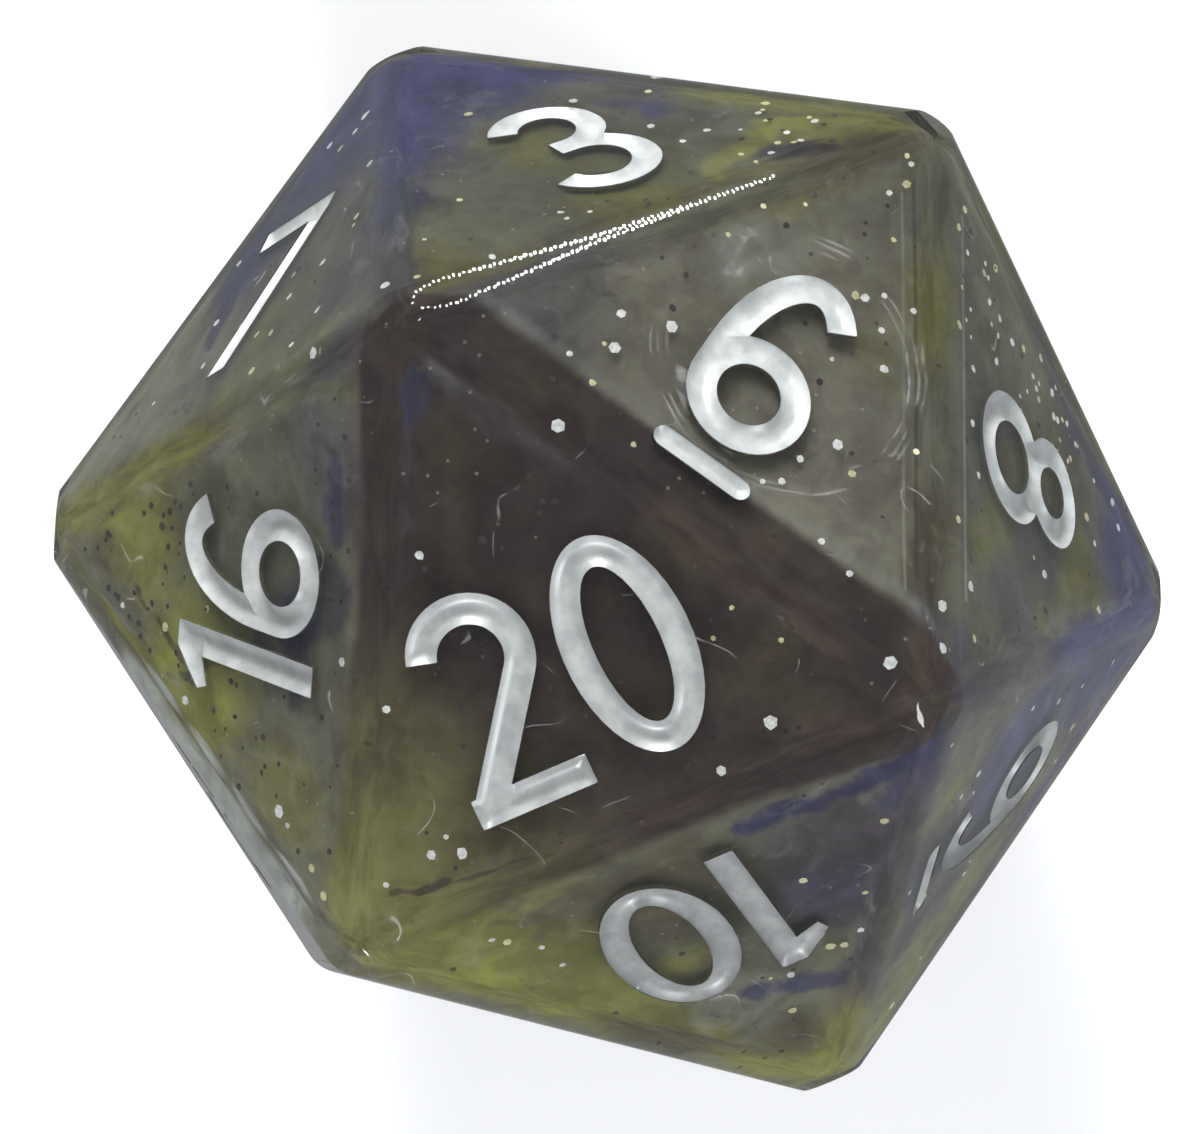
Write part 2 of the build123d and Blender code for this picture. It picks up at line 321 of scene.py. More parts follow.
clouds = [
    # Face 16: lime and olive, smoky towards a, violet behind the 1
    Cloud(lime, 2.1, 0.9, ca=5, c=4, a=1),
    Cloud(lime, 1.6, 0.8, ca=7, c=1, a=2),
    Cloud(olive, 1.5, 0.6, ca=2, c=7, a=1),
    Cloud(haze, 1.4, 0.8, ca=1, c=2, a=7),
    Cloud(haze, 0.9, 0.7, ca=2, c=1, a=7),
    Cloud(dusk, 0.9, 0.9, ca=1, c=4, a=5),
    Cloud(indigo, 0.9, 0.9, ca=2, c=4, a=4),
    Cloud(deep_violet, 0.5, 0.8, ca=2, c=5, a=3),
    Cloud(dusk, 0.5, 0.6, ca=3, c=4, a=3),
    Cloud(dusk, 0.4, 0.8, ca=5, c=0, a=5),
    Cloud(bark, 0.5, 0.9, ca=8, c=0, a=2),
    Cloud(bark, 0.8, 0.5, ca=8, c=1, a=1),
    Cloud(bark, 0.4, 0.6, ca=4, c=4, a=2),
    Cloud(pale_olive, 0.5, 0.6, ca=4, c=1, a=5),
    Cloud(milk, 0.4, 0.5, ca=7, c=0, a=3),
    Streak(bark, 0.15, 0.8, dict(ca=7, c=2, a=1), dict(ca=5, c=4, a=1)),
    Streak(dusk, 0.15, 0.7, dict(ca=6, c=4, a=0), dict(ca=4, c=4, a=2)),
    Streak(deep_violet, 0.3, 0.8, dict(ca=1, c=2, a=7), dict(ca=1, c=3, a=6)),
    # Face 7: violet at the top, pale olive towards ca
    Cloud(violet, 3.2, 0.9, no_bc=8, a=1, ca=1),
    Cloud(violet, 1.6, 0.9, no_bc=5, a=1, ca=4),
    Cloud(indigo, 1.2, 0.5, no_bc=9, a=0, ca=1),
    Cloud(haze, 1.5, 0.9, no_bc=2, a=7, ca=1),
    Cloud(grey_olive, 1.3, 0.8, no_bc=1, a=6, ca=3),
    Cloud(olive, 1.6, 0.9, no_bc=0, a=6, ca=4),
    Cloud(pale_olive, 2.2, 0.9, no_bc=2, a=2, ca=6),
    Streak(pale_olive, 1.1, 0.7, dict(no_bc=1, a=1, ca=8), dict(no_bc=3, a=2, ca=5)),
    Streak(deep_violet, 0.5, 0.9, dict(no_bc=5, a=1, ca=4), dict(no_bc=3, a=2, ca=5)),
    Cloud(deep_violet, 4.5, 0.2, no_bc=1, a=1, ca=1),
    # Face 3: violet, then grey, with a lime curl towards ab
    Cloud(violet, 2.8, 0.9, no_bc=8, a=1, ab=1),
    Cloud(violet, 2.0, 0.9, no_bc=6, a=4, ab=0),
    Cloud(haze, 1.5, 0.8, no_bc=4, a=5, ab=1),
    Cloud(grey_olive, 2.4, 0.9, no_bc=2, a=6, ab=2),
    Cloud(deep_violet, 0.6, 0.8, no_bc=4, a=6, ab=0),
    Cloud(olive, 1.2, 0.7, no_bc=1, a=5, ab=4),
    Cloud(dusk, 0.8, 0.5, no_bc=4, a=2, ab=4),
    Cloud(violet, 0.8, 0.6, no_bc=7, a=0, ab=3),
    Streak(lime, 0.4, 0.9, dict(no_bc=1, a=3, ab=6), dict(no_bc=2, a=1, ab=7)),
    Streak(lime, 0.4, 0.9, dict(no_bc=2, a=1, ab=7), dict(no_bc=1, a=0, ab=9)),
    Streak(dusk, 0.35, 0.9, dict(no_bc=1, a=2, ab=7), dict(no_bc=0, a=1, ab=9)),
    Cloud(bark, 0.9, 0.7, no_bc=0, a=1, ab=9),
    # Face 6: ashen, milky above the 6 and brown towards b
    Cloud(ash, 6.0, 0.9, ab=1, a=1, b=1),
    Cloud(dusk, 1.0, 0.9, ab=0, a=9, b=1),
    Cloud(haze, 1.4, 0.7, ab=1, a=8, b=1),
    Cloud(haze, 1.4, 0.5, ab=2, a=7, b=1),
    Cloud(milk, 0.9, 0.2, ab=6, a=3, b=1),
    Cloud(milk, 0.7, 0.5, ab=5, a=4, b=1),
    # Painted glint: a pale puff near corner ab
    Cloud(milk, 0.5, 0.5, ab=9, a=1, b=0),
    Cloud(olive, 0.8, 0.6, ab=7, a=3, b=0),
    Cloud(olive, 0.8, 0.5, ab=5, a=1, b=4),
    Cloud(bark, 1.3, 0.3, ab=3, a=1, b=6),
    Cloud(ash, 1.8, 0.6, ab=3, a=2, b=5),
    Cloud(bark, 0.8, 0.8, ab=2, a=0, b=8),
    # Face 8: pale olive above, violet towards -ca
    Cloud(pale_olive, 2.2, 0.9, no_ca=3, b=1, ab=6),
    Cloud(pale_olive, 1.4, 0.8, no_ca=2, b=0, ab=8),
    Cloud(bark, 0.6, 0.6, no_ca=2, b=2, ab=6),
    Cloud(dusk, 1.0, 0.6, no_ca=2, b=4, ab=4),
    Cloud(haze, 1.6, 0.9, no_ca=4, b=4, ab=2),
    Cloud(haze, 1.3, 0.9, no_ca=3, b=6, ab=1),
    Cloud(violet, 1.6, 0.9, no_ca=8, b=1, ab=1),
    Cloud(milk, 0.9, 0.5, no_ca=5, b=5, ab=0),
    Streak(deep_violet, 0.7, 0.8, dict(no_ca=6, b=0, ab=4), dict(no_ca=8, b=0, ab=2)),
    # Face 9: lilac, darker towards bc
    Cloud(lilac, 2.6, 0.9, no_ca=4, b=4, bc=2),
    Cloud(lilac, 1.6, 0.9, no_ca=7, b=2, bc=1),
    Cloud(violet, 0.9, 0.9, no_ca=8, b=1, bc=1),
    Cloud(dusk, 1.7, 0.9, no_ca=1, b=5, bc=4),
    Cloud(deep_violet, 1.6, 0.5, no_ca=2, b=3, bc=5),
    Cloud(indigo, 0.9, 0.5, no_ca=1, b=4, bc=5),
    Cloud(dusk, 1.0, 0.8, no_ca=1, b=3, bc=6),
    Cloud(olive, 1.0, 0.8, no_ca=1, b=0, bc=9),
    # Face 10: smoky round the number, lime towards c, violet along the edge to b
    Cloud(dusk, 2.6, 0.9, bc=3, b=6, c=1),
    Cloud(deep_violet, 1.4, 0.5, bc=4, b=5, c=1),
    Cloud(bark, 2.0, 0.9, bc=2, b=4, c=4),
    Cloud(bark, 1.2, 0.7, bc=1, b=3, c=6),
    Cloud(olive, 1.8, 0.9, bc=4, b=0, c=6),
    Cloud(lime, 1.6, 0.8, bc=2, b=0, c=8),
    Cloud(olive, 1.5, 0.8, bc=1, b=1, c=8),
    Cloud(bark, 1.1, 0.8, bc=8, b=1, c=1),
    Cloud(olive, 0.8, 0.7, bc=7, b=0, c=3),
    Cloud(deep_violet, 0.8, 0.9, bc=2, b=8, c=0),
    Cloud(dusk, 0.6, 0.7, bc=7, b=3, c=0),
    Cloud(olive, 0.7, 0.5, bc=9, b=1, c=0),
    Streak(indigo, 0.4, 0.9, dict(bc=1, b=6, c=3), dict(bc=1, b=9, c=0)),
    Streak(indigo, 0.4, 0.8, dict(bc=6, b=2, c=2), dict(bc=7, b=3, c=0)),
    Streak(dusk, 0.3, 0.8, dict(bc=6, b=0, c=4), dict(bc=8, b=0, c=2)),
]
# Over the brown heart under face 20, which is painted shade
marks = [
    Streak(dusk, 0.8, 0.8, dict(a=9, b=1, c=0), dict(a=7, b=3, c=0)),
    Streak(dusk, 0.4, 0.5, dict(a=8, b=0, c=2), dict(a=6, b=0, c=4)),
    Streak(bark_dark, 0.2, 0.9, dict(a=1, b=1, c=12), dict(a=0, b=1, c=3)),
    Streak(bark_dark, 0.1, 0.8, dict(a=0, b=1, c=3), dict(a=0, b=1, c=2)),
    Cloud(deep_violet, 0.8, 0.8, a=9, b=0, c=1),
    Cloud(haze, 0.6, 0.5, a=9, b=1, c=0),
    Cloud(dusk, 0.6, 0.8, a=8, b=0, c=2),
    Cloud(dusk, 0.5, 0.6, a=7, b=0, c=3),
]
# Painted highlights: straight pale gleams, and a painted dark line between them, along the edge from b to
# ab
painted_gleams = [
    Streak(painted_light_grey, 0.08, 0.5, dict(no_ca=1, b=1, ab=10), dict(no_ca=1, b=10, ab=2)),
    Streak(bark_dark, 0.14, 0.5, dict(a=0, b=1, ab=9), dict(a=0, b=8, ab=2)),
    Streak(painted_light_grey, 0.06, 0.3, dict(a=1, b=2, ab=17), dict(a=1, b=16, ab=3)),
]


def line_edge(first, second, *tints):
    """Clouds along the rounded edge between two corners, in equal steps."""
    for step, tint in enumerate(tints):
        share = (step + 0.5) / len(tints)
        weights = {first: 1 - share, second: share}
        clouds.append(Cloud(tint, 2.3, 0.85, **weights))


line_edge("b", "ab", dusk, bark, grey_olive, olive, grey_olive)
line_edge("a", "ca", dusk, grey_olive, olive, olive)
line_edge("a", "no_bc", dusk, deep_violet, violet, violet)
# The umber along the edges of face 20 is painted shade, as the heart is
line_edge("a", "c", dusk, umber, bark, bark, olive)
line_edge("a", "b", dusk, umber, umber, umber)
line_edge("b", "c", umber, umber, bark, olive, olive)
line_edge("b", "bc", indigo, dusk, dusk, dusk, olive)
line_edge("b", "no_ca", dusk, haze, lilac, lilac)
line_edge("a", "ab", dusk, haze, grey_olive, grey_olive, bark)
line_edge("no_bc", "ab", violet, violet, haze, lime, olive)
line_edge("no_bc", "ca", violet, deep_violet, pale_olive, pale_olive)
line_edge("ab", "no_ca", pale_olive, haze, violet)
line_edge("no_ca", "bc", lilac, violet, dusk, olive)
line_edge("c", "bc", olive, olive, bark, olive)

# Painted light: pale grey pigment along the edge from c to ca stands for the pale floor seen through the
# clear rim
for share in (0.15, 0.30, 0.45, 0.60):
    clouds.append(Cloud(painted_light_grey, 0.8, 0.8, c=1 - share, ca=share))
    clouds.append(Cloud(painted_light_grey, 1.3, 0.9, c=0.95 - share, ca=share, no_ab=0.05))


def add_clouds(tree, colour, place, puffs):
    for cloud in puffs:
        nearest = tuple(cloud.place)
        if isinstance(cloud, Streak):
            nearest = tree.nearest_between(place, cloud.place, cloud.end)
        away = tree.vector("DISTANCE", place, nearest)
        outer = cloud.radius * (1 + cloud_fade / 2)
        inner = cloud.radius * (1 - cloud_fade)
        colour = tree.mix(tree.ease(away, outer, inner, 0.0, cloud.cover), colour, cloud.tint)
    return colour


heart_lean = 0.1305                # of the brown heart's side, towards face 6
heart_side = (9.76 * MM, 9.94 * MM)        # where the heart starts and is full, along the lean
heart_top = (9.66 * MM, 9.80 * MM)         # and straight up from the die's centre
face_six_edge = (9.82 * MM, 9.94 * MM)     # where face 6 starts and is full
highlight_line_height = 9.62 * MM       # of the thin pale line just short of the heart, a painted highlight along the edge from a to b
highlight_line_width = 0.16 * MM
heart_cover = 0.95


def cloud_colour(tree):
    """The pigment's colour, from where each point lies under the die's faces."""
    local, apart = tree.attribute("skin"), tree.attribute("spot")
    curled = tree.warp(tree.warp(apart, 3.0 * MM, 1.2 * MM), 0.8 * MM, 0.9 * MM, 5.0)

    big = tree.noise(tree.warp(apart, 5.0 * MM, 5.0 * MM), 7.0 * MM, 2.0)
    colour = tree.mix(tree.ease(big, 0.50, 0.62), grey_olive, olive)
    colour = tree.mix(tree.ease(big, 0.40, 0.30), colour, violet)
    colour = add_clouds(tree, colour, curled, clouds)

    # The brown heart, as face 20 shows it, and as the first millimetre of face 6 does: painted shade, the
    # dark underside of the die seen through these faces, painted as umber pigment.
    lean = between(a=1, b=1)
    lean.z = 0
    axis = Vector((0, 0, 1)) + lean.normalized() * heart_lean
    along = tree.vector("DOT_PRODUCT", local, tuple(axis))
    fray = tree.math("MULTIPLY", tree.noise(local, 1.2 * MM, 4.0), 0.16 * MM)
    beyond = tree.ease(tree.math("ADD", along, fray), *heart_side)
    height = tree.vector("DOT_PRODUCT", local, (0, 0, 1))
    heart = tree.math("MAXIMUM", beyond, tree.ease(height, *heart_top))
    tone = tree.noise(tree.warp(local, 3.0 * MM, 3.0 * MM), 3.4 * MM, 4.0, 0.6)
    brown = tree.mix(tree.ease(tone, 0.42, 0.64), umber, (0.062, 0.047, 0.038))
    from_c = tree.vector("DISTANCE", tree.warp(local, 4 * MM, 3 * MM), tuple(between(c=9, a=1)))
    brown = tree.mix(tree.ease(from_c, 6.4 * MM, -1.2 * MM), brown, (0.160, 0.158, 0.060))
    brown = add_clouds(tree, brown, curled, marks)
    colour = tree.mix(tree.math("MULTIPLY", heart, heart_cover), colour, brown)
    # Painted highlight: a thin pale line on face 6, along the edge from a to b, just short of the heart
    off_line = tree.math("ABSOLUTE", tree.math("SUBTRACT", along, highlight_line_height))
    line = tree.ease(off_line, highlight_line_width, 0.0)
    line = tree.math("MULTIPLY", line, tree.ease(tone, 0.35, 0.60, 0.05, 0.30))
    six = sum((corner(name) for name in ("ab", "a", "b")), Vector()).normalized()
    on_six = tree.ease(tree.vector("DOT_PRODUCT", local, tuple(six)), *face_six_edge)
    line = tree.math("MULTIPLY", line, tree.math("MULTIPLY", on_six, tree.ease(heart, 0.6, 0.0)))
    colour = tree.mix(line, colour, milk)

    # The painted gleams and painted dark line along the edge from b to ab
    colour = add_clouds(tree, colour, apart, painted_gleams)

    # Mottling, milky wisps and dark threads, finer and finer
    mottle = tree.noise(tree.warp(apart, 1.5 * MM, 1.6 * MM), 1.5 * MM, 4.0, 0.6)
    shade = tree.mix(tree.ease(mottle, 0.30, 0.70), (0.72, 0.71, 0.71), (1.24, 1.25, 1.23))
    colour = tree.mix(1.0, colour, shade, "MULTIPLY")
    wisps = tree.noise(tree.warp(apart, 2.2 * MM, 3.4 * MM), 1.8 * MM, 5.0, 0.62)
    pale = tree.ease(wisps, 0.56, 0.72, 0.0, 0.30)
    pale = tree.math("MULTIPLY", pale, tree.ease(heart, 1, 0, 0.15, 1))
    colour = tree.mix(pale, colour, milk)
    colour = tree.mix(tree.ease(wisps, 0.42, 0.27, 0.0, 0.55), colour, dusk)
    # Painted shade and light: darker on the side of face 3, which faces the key light, and lighter on the
    # far side
    side = tree.vector("DOT_PRODUCT", apart, (0.12, 1, 0))
    painted_shade_gain = tree.ease(side, -9 * MM, 12 * MM, 1.30, 0.74)
    return tree.mix(1.0, colour, painted_shade_gain, "MULTIPLY")


def dusty(tree, colour):
    """Specks of dust and pin-prick bubbles in the resin."""
    place = tree.place(0.2 * MM)
    spread = tree.noise(place, 5.0 * MM, 2.0)
    pale = tree.ease(tree.cells(place, 0.40 * MM), 0.11, 0.07)
    pale = tree.math("MULTIPLY", pale, tree.ease(spread, 0.45, 0.65, 0.0, 0.5))
    colour = tree.mix(pale, colour, (0.42, 0.42, 0.36))
    offset = tree.vector("ADD", place, (0.013, 0.007, 0.003))
    dark = tree.ease(tree.cells(offset, 0.52 * MM), 0.12, 0.07)
    dark = tree.math("MULTIPLY", dark, tree.ease(spread, 0.55, 0.35, 0.0, 0.75))
    return tree.mix(dark, colour, (0.012, 0.011, 0.018))


worn_rings = (2.55 * MM, 2.74 * MM, 2.88 * MM)     # radii of the rubbed rings round the 6


def resin_material():
    """The clear casting: glossy, with rubbing marks, and a worn ring round the 6."""
    tree = Tree("cast_resin")
    place = tree.place()
    local = tree.vector("SUBTRACT", place, tuple(centre))
    six = between(ab=3.8, a=2.9, b=3.3)
    breaks = tree.noise(place, 0.9 * MM, 3.0)
    away = tree.vector("DISTANCE", tree.warp(local, 2.0 * MM, 0.35 * MM), tuple(six))
    ring = 0.0
    for radius in worn_rings:
        off = tree.math("ABSOLUTE", tree.math("SUBTRACT", away, radius))
        ring = tree.math("MAXIMUM", ring, tree.ease(off, 0.05 * MM, 0.01 * MM))
    ring = tree.math("MULTIPLY", ring, tree.ease(breaks, 0.46, 0.68, 0.0, 0.11))
    frost_place = between(ab=5, a=3.7, b=1.3)
    frost = tree.vector("DISTANCE", tree.warp(local, 1.0 * MM, 1.2 * MM), tuple(frost_place))
    flecks = tree.noise(tree.warp(place, 0.5 * MM, 0.5 * MM), 0.35 * MM, 4.0, 0.65)
    frost = tree.ease(frost, 0.9 * MM, 0.2 * MM)
    frost = tree.math("MULTIPLY", frost, tree.ease(flecks, 0.50, 0.66, 0.0, 0.16))
    lines = tree.noise(tree.warp(place, 3.0 * MM, 2.0 * MM), 2.6 * MM, 1.0)
    line = tree.ease(tree.math("ABSOLUTE", tree.math("SUBTRACT", lines, 0.5)), 0.0035, 0.0012)
    line = tree.math("MULTIPLY", line, tree.ease(breaks, 0.52, 0.66, 0.0, 0.14))
    worn = tree.math("MAXIMUM", tree.math("MAXIMUM", ring, frost), line)
    scuffs = tree.noise(place, 0.6 * MM, 4.0, 0.6)
    facing = between(a=1, ab=1)
    height = tree.vector("DOT_PRODUCT", local, tuple(facing.normalized()))
    level = facing.length - band_width / 2 * sqrt((facing.length / inradius) ** 2 - 1)
    rough = tree.ease(height, level - 0.05 * MM, level - 0.01 * MM, 1.0, 0.0)
    worn = tree.math("MULTIPLY", worn, rough)
    gloss = tree.math("MULTIPLY", tree.ease(scuffs, 0.40, 0.75, 0.02, 0.055), rough)
    tree.set(
        Base_Color=tree.mix(scuffs, (0.90, 0.91, 0.90), (0.96, 0.96, 0.95)),
        Roughness=tree.math("ADD", gloss, worn),
        IOR=1.5,
        Specular_IOR_Level=0.3,
        Transmission_Weight=tree.math("SUBTRACT", 1.0, worn),
    )
    waves = tree.math("MULTIPLY", tree.noise(place, 1.6 * MM, 1.0), rough)
    tree.bump(waves, 0.004 * MM, 0.4)
    return tree.material


def cloud_material(name, painted_shade_gain):
    """The pigment. Round the numbers it is in the shade of the paint, so painted_shade_gain darkens it
    there as painted shade.
    """
    tree = Tree(name)
    colour = tree.mix(1.0, dusty(tree, cloud_colour(tree)), (painted_shade_gain, painted_shade_gain, painted_shade_gain), "MULTIPLY")
    tree.set(Base_Color=colour, Roughness=0.7, Specular_IOR_Level=0.0)
    return tree.material


def paint_material():
    """Silver-white paint, brushed in and wiped off, thin at its edges."""
    tree = Tree("silver_paint")
    place = tree.place()
    mottle = tree.noise(place, 0.5 * MM, 4.0, 0.6)
    grain = tree.noise(place, 0.05 * MM, 3.0, 0.7)
    colour = tree.mix(tree.ease(mottle, 0.3, 0.7), (0.30, 0.315, 0.315), (0.40, 0.415, 0.41))
    colour = tree.mix(tree.ease(grain, 0.62, 0.8, 0.0, 0.25), colour, (0.20, 0.21, 0.21))
    # Painted light and shade: the paint is lighter towards +Y and lower down, where the key light falls,
    # and darker on the far side
    side = tree.vector("DOT_PRODUCT", tree.attribute("spot"), (0, 1, -0.35))
    painted_light_side = tree.ease(side, -14 * MM, 10 * MM, 0.72, 1.35)
    tree.set(
        Base_Color=tree.mix(1.0, colour, painted_light_side, "MULTIPLY"),
        Roughness=tree.ease(mottle, 0.3, 0.7, 0.34, 0.5),
        Metallic=0.15,
        Coat_Weight=0.15,
        Coat_Roughness=0.2,
    )
    tree.bump(grain, 0.006 * MM, 0.5)
    return tree.material


def foil_material(name, colour, metallic, roughness):
    tree = Tree(name)
    creases = tree.noise(tree.place(), 0.09 * MM, 2.0)
    tinted = tree.mix(tree.ease(creases, 0.3, 0.7), colour, tuple(c * 0.72 for c in colour))
    tree.set(Base_Color=tinted, Metallic=metallic, Roughness=roughness)
    tree.bump(creases, 0.01 * MM, 0.4)
    return tree.material


def swirl_material(name, pale, dark):
    """Pigment drawn out in streaks."""
    tree = Tree(name)
    place = tree.warp(tree.place(), 2.0 * MM, 2.0 * MM)
    streaks = tree.noise(tree.vector("MULTIPLY", place, (1, 1, 3.5)), 1.6 * MM, 4.0)
    colour = tree.mix(tree.ease(streaks, 0.35, 0.68), dark, pale)
    tree.set(Base_Color=colour, Roughness=0.55)
    return tree.material


def floor_material():
    tree = Tree("pale_floor")
    tone = tree.noise(tree.place(), 60 * MM, 2.0)
    tree.set(Base_Color=tree.mix(tone, (0.86, 0.87, 0.88), (0.90, 0.90, 0.90)), Roughness=0.7)
    return tree.material


# ---- Meshes -------------------------------------------------------------------------
def make_piece(name, mesh, material, slot, *replaced):
    """A finished piece, in place: it rides with the die and stands for its CAD nodes."""
    piece = bpy.data.objects.new(name, mesh)
    scene.collection.objects.link(piece)
    mesh.materials.append(material)
    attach(piece, "root")
    if replaced:
        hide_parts(*replaced)
    return piece


def mesh_from(bm, name):
    mesh = bpy.data.meshes.new(name)
    bm.normal_update()
    bm.to_mesh(mesh)
    bm.free()
    return mesh


weld_gap = 0.00002 * MM
sharp_bend = radians(32)           # an edge that bends more is shaded sharp
floor_tolerance = 0.004 * MM       # how near a vertex lies to an engraving's floor
corner_flat_reach = radians(8)     # of the flats at the corners, which aren't engraved


def welded(node):
    """A copy of a CAD node's mesh with its faces joined up."""
    bm = bmesh.new()
    bm.from_mesh(nodes[node].data)
    bmesh.ops.remove_doubles(bm, verts=bm.verts, dist=weld_gap)
    return bm


def keep_outer_skin(bm):
    """Drops the walls round what is cast inside, which the inner pieces fill."""
    left = set(bm.verts)
    skin, reach = set(), 0
    while left:
        island = {left.pop()}
        edge_of_it = list(island)
        while edge_of_it:
            vert = edge_of_it.pop()
            for side in vert.link_edges:
                other = side.other_vert(vert)
                if other in left:
                    left.discard(other)
                    island.add(other)
                    edge_of_it.append(other)
        span = max((vert.co - centre).length for vert in island)
        if span > reach:
            skin, reach = island, span
    bmesh.ops.delete(bm, geom=[v for v in bm.verts if v not in skin], context="VERTS")


def polish_edge(bm, first, second, width):
    """Polishes one edge of the die to a bright flat band."""
    middle = (corner(first) + corner(second)) / 2
    facing = middle.normalized()
    lean = sqrt((middle.length / inradius) ** 2 - 1)
    cut_off = bmesh.ops.bisect_plane(
        bm,
        geom=bm.verts[:] + bm.edges[:] + bm.faces[:],
        dist=1e-8,
        plane_co=centre + middle - facing * width / 2 * lean,
        plane_no=facing,
        clear_outer=True,
    )
    rim = [g for g in cut_off["geom_cut"] if isinstance(g, bmesh.types.BMEdge)]
    bmesh.ops.edgeloop_fill(bm, edges=rim)
    for side in rim:
        side.smooth = False


def weigh_normals(piece):
    """Lets the flat faces keep their shading and the narrow roundings take the bend."""
    modifier = piece.modifiers.new("flat_faces", "WEIGHTED_NORMAL")
    modifier.keep_sharp = True
    modifier.weight = 100


def make_casting():
    bm = welded("resin_body")
    keep_outer_skin(bm)
    bm.normal_update()
    for side in bm.edges:
        side.smooth = len(side.link_faces) == 2 and side.calc_face_angle() < sharp_bend
    polish_edge(bm, "a", "ab", band_width)
    for vert in bm.verts:
        spot = vert.co - centre
        facing = max(face_normals, key=spot.dot)
        floor = abs(inradius - spot.dot(facing) - engraving_depth) < floor_tolerance
        if floor and all(spot.angle(corner(name)) > corner_flat_reach for name in corner_names):
            vert.co += facing * (engraving_depth - paint_depth)
    for face in bm.faces:
        face.smooth = True
    mesh = mesh_from(bm, "resin_casting")
    piece = make_piece("resin_casting", mesh, resin_material(), "clear_resin", "resin_body")
    weigh_normals(piece)


# ---- Painted numbers ----------------------------------------------------------------
def inside_outline(points, starts, ends):
    """Which points lie inside a closed outline given by its segments."""
    x, y = points[:, :1], points[:, 1:]
    low = starts[:, 1] <= y
    high = ends[:, 1] <= y
    with np.errstate(divide="ignore", invalid="ignore"):
        share = (y - starts[:, 1]) / (ends[:, 1] - starts[:, 1])
        crossing = starts[:, 0] + share * (ends[:, 0] - starts[:, 0])
    return ((low != high) & (crossing > x)).sum(1) % 2 == 1


def outline_distance(points, starts, ends):
    run = ends - starts
    offset = points[:, None, :] - starts[None]
    share = (offset * run).sum(2) / np.maximum((run * run).sum(1), 1e-18)
    nearest = starts + np.clip(share, 0, 1)[..., None] * run
    return np.sqrt(((points[:, None, :] - nearest) ** 2).sum(2)).min(1)


paint_step = 0.09 * MM
paint_rows = (0.06 * MM, 0.14 * MM, 0.23 * MM)
paint_rim = 0.025 * MM             # below the face
paint_bite = 0.004 * MM
paint_bowl = 0.17 * MM             # deeper still in the middle of a line
half_stroke = 0.30 * MM
lid_tolerance = 0.01 * MM          # what counts as the top of the CAD's paint
same_point = 0.0005 * MM           # two ends of the outline that meet
paint_crease = radians(50)
paint_points = []


